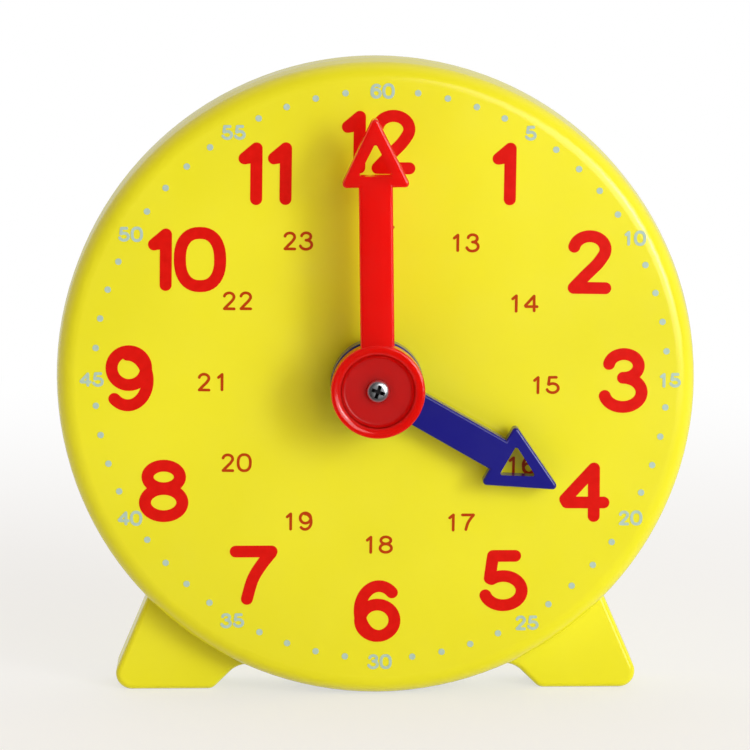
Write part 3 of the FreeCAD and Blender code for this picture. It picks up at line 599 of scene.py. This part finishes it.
def cross_head_screw(name, seat, side, turned, head_radius, head_height, shank_radius, shank,
                     recess_depth):
    """A pan-head screw with a cross recess. Its head points to -Y (side -1) or +Y (side 1).
    The recess walls and floor get the second material, a dark metal that is painted shade."""
    crown, flat = head_height * 0.5, head_radius * 0.5
    rise = head_height - crown
    bm = bmesh.new()
    profile = [(0.0, head_height)]
    profile += [(flat + (head_radius - flat) * math.sin(a), rise + crown * math.cos(a))
                for a in (math.radians(step) for step in range(0, 91, 9))]
    profile += [(head_radius, 0.08 * MM), (head_radius - 0.08 * MM, 0.0), (shank_radius, 0.0),
                (shank_radius, 0.3 * MM - shank), (shank_radius * 0.55, -shank), (0.0, -shank)]
    chain = [bm.verts.new((r, h * side, 0)) for r, h in profile]
    for a, b in zip(chain, chain[1:]):
        bm.edges.new((a, b))
    bmesh.ops.spin(bm, geom=bm.verts[:] + bm.edges[:], cent=(0, 0, 0), axis=(0, 1, 0),
                   dvec=(0, 0, 0), angle=math.tau, steps=48, use_merge=True)
    bmesh.ops.remove_doubles(bm, verts=bm.verts, dist=MERGED)
    bmesh.ops.recalc_face_normals(bm, faces=bm.faces)
    solids = [mesh_from(bm, name)]
    arm_width, arm_reach = head_radius * 0.34, head_radius * 0.7
    for quarter in (0.0, math.pi / 2):
        cutter = bmesh.new()
        bmesh.ops.create_cube(cutter, size=2.0)
        for vert in cutter.verts:
            outer = vert.co.y * side > 0
            vert.co.x *= arm_reach * (1.0 if outer else 0.4)
            vert.co.z *= arm_width / 2 * (1.0 if outer else 0.75)
            vert.co.y = (head_height * 1.2 if outer else head_height - recess_depth) * side
        bmesh.ops.rotate(cutter, verts=cutter.verts, cent=(0, 0, 0),
                         matrix=Matrix.Rotation(quarter, 3, "Y"))
        bmesh.ops.recalc_face_normals(cutter, faces=cutter.faces)
        solids.append(mesh_from(cutter, "recess"))
    bm = bmesh.new()
    bm.from_mesh(joined(solids, "DIFFERENCE"))
    # Faces inside the cross recess take the dark second material: painted shade.
    for face in bm.faces:
        middle = face.calc_center_median()
        across = math.hypot(middle.x, middle.z)
        inward = face.normal.x * middle.x + face.normal.z * middle.z < 0
        floor = middle.y * side < head_height - recess_depth * 0.9 and across < arm_width
        if middle.y * side > 0 and across < arm_reach * 1.05 and (inward or floor):
            face.material_index = 1
    bmesh.ops.rotate(bm, verts=bm.verts, cent=(0, 0, 0), matrix=Matrix.Rotation(turned, 3, "Y"))
    bmesh.ops.translate(bm, verts=bm.verts, vec=seat)
    shade_rounds(bm)
    return mesh_from(bm, name)


# ------------------------------------------------------------- operators


class CLOCK_OT_case(bpy.types.Operator):
    """Finish both shells of the housing in polished yellow ABS"""
    bl_idname = "clock.case"
    bl_label = "Housing"

    def execute(self, context):
        finish = context.scene.clock_finish
        yellow = glossy_abs("polished yellow ABS", finish.case_yellow, finish.case_gloss)
        dress_node("dial_shell", "dial_moulding", "case", "case_plastic", yellow)
        dress_node("rear_housing", "back_moulding", "case", "case_plastic", yellow)
        return {"FINISHED"}


class CLOCK_OT_hour_numbers(bpy.types.Operator):
    """Print the large numbers 1 to 12"""
    bl_idname = "clock.hour_numbers"
    bl_label = "Hour numbers"

    def execute(self, context):
        ink = context.scene.clock_print
        red = pad_printed_ink("red pad-printing ink", context.scene.clock_finish.hour_ink)
        print_numbers("hour_numbers", HOUR_PLACES, DIGIT_HEIGHT * MM, ink.hour_stroke, 0.0, red,
                      HOUR_SPREAD, bold=True)
        return {"FINISHED"}


class CLOCK_OT_day_numbers(bpy.types.Operator):
    """Print the small numbers 13 to 24"""
    bl_idname = "clock.day_numbers"
    bl_label = "Day numbers"

    def execute(self, context):
        ink = context.scene.clock_print
        brown = pad_printed_ink("brown-red pad-printing ink", context.scene.clock_finish.day_ink)
        print_numbers("day_numbers", DAY_PLACES, ink.day_height, ink.day_stroke, ink.day_pitch,
                      brown)
        return {"FINISHED"}


class CLOCK_OT_minute_marks(bpy.types.Operator):
    """Print the minute numbers 5 to 60 and the dots between them"""
    bl_idname = "clock.minute_marks"
    bl_label = "Minute marks"

    def execute(self, context):
        ink = context.scene.clock_print
        pale = pad_printed_ink("pale blue pad-printing ink",
                               context.scene.clock_finish.minute_ink)
        print_numbers("minute_numbers", LABEL_PLACES, ink.label_height, ink.label_stroke,
                      ink.label_pitch, pale)
        bm = bmesh.new()
        low, high = DIAL_Y + ink.ink_root, DIAL_Y - ink.ink_height
        for minute in (m for m in range(60) if m % 5):
            round_by = math.radians(minute * 6 + DOT_GROUP_TURNS[minute // 5])
            dot = disc(AXIS_X + ink.print_shift_x + ink.dot_circle * math.sin(round_by),
                       AXIS_Z + ink.print_shift_z + ink.dot_circle * math.cos(round_by),
                       ink.dot_diameter / 2, low, high)
            bm.from_mesh(dot)
            bpy.data.meshes.remove(dot)
        new_piece("minute_dots", mesh_from(bm, "minute_dots"), "case", "case_plastic", pale)
        return {"FINISHED"}


class CLOCK_OT_hands(bpy.types.Operator):
    """Finish the two hands, with the matt floor of the minute hand's dish"""
    bl_idname = "clock.hands"
    bl_label = "Hands"

    def execute(self, context):
        finish = context.scene.clock_finish
        blue = glossy_abs("polished blue ABS", finish.hour_blue, finish.hand_gloss)
        dress_node("hour_hand", "hour_pointer", "hour", "hour_hand_plastic", blue)
        red = glossy_abs("polished red ABS", finish.minute_red, finish.hand_gloss)
        grain = spark_textured_abs("spark-textured red ABS", finish.dish_red)
        for plastic in (red, grain):
            let_light_through(plastic, 1.0, GLOW_DEPTH)
        pointer = dress_node("minute_hand", "minute_pointer", "minute", "minute_hand_plastic",
                             red, grain)
        soften_dish(pointer.data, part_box("minute_hand")[0].y)
        return {"FINISHED"}


class CLOCK_OT_screws(bpy.types.Operator):
    """Replace the plain screws by cross-head ones"""
    bl_idname = "clock.screws"
    bl_label = "Screws"

    def execute(self, context):
        zinc = zinc_plated_steel("bright zinc plate", context.scene.clock_finish.zinc)
        # The dark metal in the cross recesses is painted shade, not the plating's own colour.
        recess_shade = zinc_plated_steel("painted shade in the screw recess", linear("#4A4648"))
        low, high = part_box("hand_screw")
        seat = (AXIS_X, low.y + HUB_SCREW_HEAD_HEIGHT, AXIS_Z)
        mesh = cross_head_screw(
            "hand_screw_head", seat, -1, HUB_SCREW_TURN, HUB_SCREW_HEAD_RADIUS,
            HUB_SCREW_HEAD_HEIGHT, HUB_SCREW_SHANK_RADIUS,
            high.y - low.y - HUB_SCREW_HEAD_HEIGHT, HUB_SCREW_RECESS)
        screw = new_piece("pointer_screw", mesh, "minute", "steel", zinc, recess_shade)
        keep_flats(screw)
        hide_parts("hand_screw")

        low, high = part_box("housing_screws")
        reach = (high.x - low.x) / 2 - CASE_SCREW_HEAD_RADIUS
        bm = bmesh.new()
        for number in range(4):
            corner = math.radians(45 + 90 * number)
            seat = (AXIS_X + reach * math.sqrt(2) * math.cos(corner),
                    high.y - CASE_SCREW_HEAD_HEIGHT,
                    AXIS_Z + reach * math.sqrt(2) * math.sin(corner))
            mesh = cross_head_screw(
                "case_screw", seat, 1, math.radians(17 + 31 * number), CASE_SCREW_HEAD_RADIUS,
                CASE_SCREW_HEAD_HEIGHT, CASE_SCREW_SHANK_RADIUS,
                high.y - low.y - CASE_SCREW_HEAD_HEIGHT, CASE_SCREW_RECESS)
            bm.from_mesh(mesh)
            bpy.data.meshes.remove(mesh)
        screws = new_piece("case_screws", mesh_from(bm, "case_screws"), "case", "steel", zinc,
                           recess_shade)
        keep_flats(screws)
        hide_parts("housing_screws")
        for node in ("bridge_screws", "gear_bridge", "gear_stud", "friction_spring",
                     "minute_arbor"):
            paint_node(node, zinc)
        return {"FINISHED"}


class CLOCK_OT_gears(bpy.types.Operator):
    """Finish the gear train and its washer in natural acetal"""
    bl_idname = "clock.gears"
    bl_label = "Gears"

    def execute(self, context):
        acetal = natural_acetal("natural acetal", context.scene.clock_finish.gear_white)
        for node in ("hour_wheel", "middle_gear", "minute_pinion", "hour_washer"):
            paint_node(node, acetal)
        return {"FINISHED"}


class CLOCK_OT_stage(bpy.types.Operator):
    """Set up the floor, the room light, the lamps and the camera"""
    bl_idname = "clock.stage"
    bl_label = "Stage"

    def execute(self, context):
        studio = context.scene.clock_studio
        context.scene.view_settings.view_transform = "Standard"
        make_floor()
        light_room(studio)
        centre = Vector((AXIS_X, DIAL_Y, AXIS_Z))
        add_lamp("key lamp", centre, *KEY_LAMP, studio.key_power)
        add_lamp("key core", centre, *KEY_CORE, studio.core_power)
        place_camera(centre, studio)
        return {"FINISHED"}


def around(centre, swing, rise, distance):
    """A point at a distance from the centre, swung to the right and raised, in degrees."""
    a, e = math.radians(swing), math.radians(rise)
    return centre + Vector(
        (math.sin(a) * math.cos(e), -math.cos(a) * math.cos(e), math.sin(e))) * distance


def aim(thing, place, target):
    thing.location = place
    thing.rotation_euler = (target - place).to_track_quat("-Z", "Y").to_euler()


def add_lamp(name, centre, swing, rise, distance, size, power):
    data = bpy.data.lights.new(name, "AREA")
    data.shape, data.size, data.size_y, data.energy = "RECTANGLE", *size, power
    lamp = bpy.data.objects.new(name, data)
    lamp.visible_camera = False
    bpy.context.scene.collection.objects.link(lamp)
    aim(lamp, around(centre, swing, rise, distance), centre)


def make_floor():
    """A round white table top that fades into the backdrop and keeps the clock's shadow."""
    bm = bmesh.new()
    bmesh.ops.create_circle(bm, cap_ends=True, segments=96, radius=FLOOR_RADIUS,
                            matrix=Matrix.Translation((0, 0, -FLOOR_DROP)))
    floor = bpy.data.objects.new("floor", mesh_from(bm, "floor"))
    bpy.context.scene.collection.objects.link(floor)
    # White card: a matt, even white without grain, so only the clock's shadow shows on it.
    material, shader = new_material("white seamless card")
    tree = material.node_tree
    shader.inputs["Base Color"].default_value = (0.9, 0.9, 0.9, 1)
    shader.inputs["Roughness"].default_value = 0.8
    reach = add_node(tree, "ShaderNodeVectorMath", {"operation": "LENGTH"}, links={
        0: add_node(tree, "ShaderNodeTexCoord").outputs["Object"]})
    fade = add_node(tree, "ShaderNodeMapRange", {"interpolation_type": "SMOOTHSTEP"}, values={
        "From Min": 0.06, "From Max": 0.36, "To Min": 0.62, "To Max": 1.0},
        links={"Value": reach.outputs["Value"]})
    ray = add_node(tree, "ShaderNodeLightPath")
    seen = add_node(tree, "ShaderNodeMath", {"operation": "MULTIPLY"}, links={
        0: ray.outputs["Is Camera Ray"], 1: fade.outputs["Result"]})
    white = add_node(tree, "ShaderNodeEmission", values={"Strength": 1.0})
    card = add_node(tree, "ShaderNodeMixShader", links={
        0: seen.outputs[0], 1: shader.outputs[0], 2: white.outputs[0]})
    # Polished surfaces mirror the room itself, without the card.
    mirrored = add_node(tree, "ShaderNodeMixShader", links={
        0: ray.outputs["Is Glossy Ray"], 1: card.outputs[0],
        2: add_node(tree, "ShaderNodeBsdfTransparent").outputs[0]})
    tree.links.new(mirrored.outputs[0], tree.nodes["Material Output"].inputs["Surface"])
    floor.data.materials.append(material)


def light_room(studio):
    """Even light, stronger from the white backdrop; the camera sees plain white."""
    world = bpy.data.worlds.new("studio room")
    bpy.context.scene.world = world
    world.use_nodes = True
    tree = world.node_tree
    room = tree.nodes["Background"]
    facing = add_node(tree, "ShaderNodeSeparateXYZ", links={
        0: add_node(tree, "ShaderNodeTexCoord").outputs["Generated"]})
    turned = add_node(tree, "ShaderNodeMapRange", values={
        "From Min": -0.5, "From Max": 0.6}, links={"Value": facing.outputs["Y"]})
    light = add_node(tree, "ShaderNodeMix", values={
        2: studio.room_front, 3: studio.room_back}, links={0: turned.outputs["Result"]})
    # The room in front of the dial is dark to anything that mirrors it.
    gleam = add_node(tree, "ShaderNodeMapRange", values={
        "From Min": -0.5, "From Max": 0.15, "To Min": 0.05, "To Max": 0.7},
        links={"Value": facing.outputs["Y"]})
    ray = add_node(tree, "ShaderNodeLightPath")
    mirrored = add_node(tree, "ShaderNodeMix", links={
        0: ray.outputs["Is Glossy Ray"], 2: light.outputs[0], 3: gleam.outputs["Result"]})
    # Only the diffuse light from the front is warm; all else in the room is white.
    untinted = add_node(tree, "ShaderNodeMath", {"operation": "MAXIMUM"}, links={
        0: turned.outputs["Result"],
        1: add_node(tree, "ShaderNodeMath", {"operation": "SUBTRACT"}, values={0: 1.0}, links={
            1: ray.outputs["Is Diffuse Ray"]}).outputs[0]})
    tint = add_node(tree, "ShaderNodeMix", {"data_type": "RGBA"}, values={
        6: (*studio.front_tint, 1), 7: (1, 1, 1, 1)}, links={0: untinted.outputs[0]})
    tree.links.new(tint.outputs[2], room.inputs["Color"])
    clear = add_node(tree, "ShaderNodeMath", {"operation": "MAXIMUM"}, links={
        0: ray.outputs["Is Camera Ray"], 1: ray.outputs["Is Transmission Ray"]})
    strength = add_node(tree, "ShaderNodeMix", values={3: 1.0}, links={
        0: clear.outputs[0], 2: mirrored.outputs[0]})
    tree.links.new(strength.outputs[0], room.inputs["Strength"])


def place_camera(centre, studio):
    data = bpy.data.cameras.new("camera")
    data.sensor_width = SENSOR_WIDTH
    data.lens = studio.camera_lens
    data.shift_x, data.shift_y = CAMERA_SHIFT
    camera = bpy.data.objects.new("camera", data)
    bpy.context.scene.collection.objects.link(camera)
    aim(camera, around(centre, math.degrees(studio.camera_swing),
                       math.degrees(studio.camera_rise), studio.camera_distance), centre)
    bpy.context.scene.camera = camera


STEPS = (
    CLOCK_OT_case,
    CLOCK_OT_hour_numbers,
    CLOCK_OT_day_numbers,
    CLOCK_OT_minute_marks,
    CLOCK_OT_hands,
    CLOCK_OT_screws,
    CLOCK_OT_gears,
    CLOCK_OT_stage,
)


class CLOCK_PT_panel(bpy.types.Panel):
    """Sizes, colours and steps of the teaching clock"""
    bl_label = "Teaching Clock"
    bl_idname = "CLOCK_PT_panel"
    bl_space_type = "VIEW_3D"
    bl_region_type = "UI"
    bl_category = "Clock"

    def draw(self, context):
        for name, group in SETTINGS.items():
            box = self.layout.box()
            for prop in group.__annotations__:
                box.prop(getattr(context.scene, name), prop)
        for step in STEPS:
            self.layout.operator(step.bl_idname)


def register():
    for item in (*SETTINGS.values(), *STEPS, CLOCK_PT_panel):
        bpy.utils.register_class(item)
    for name, group in SETTINGS.items():
        setattr(bpy.types.Scene, name, PointerProperty(type=group))


def unregister():
    for name in SETTINGS:
        delattr(bpy.types.Scene, name)
    for item in (CLOCK_PT_panel, *reversed(STEPS), *SETTINGS.values()):
        bpy.utils.unregister_class(item)


def main():
    register()
    for step in STEPS:
        group, name = step.bl_idname.split(".")
        getattr(getattr(bpy.ops, group), name)()


if __name__ == "__main__":
    main()
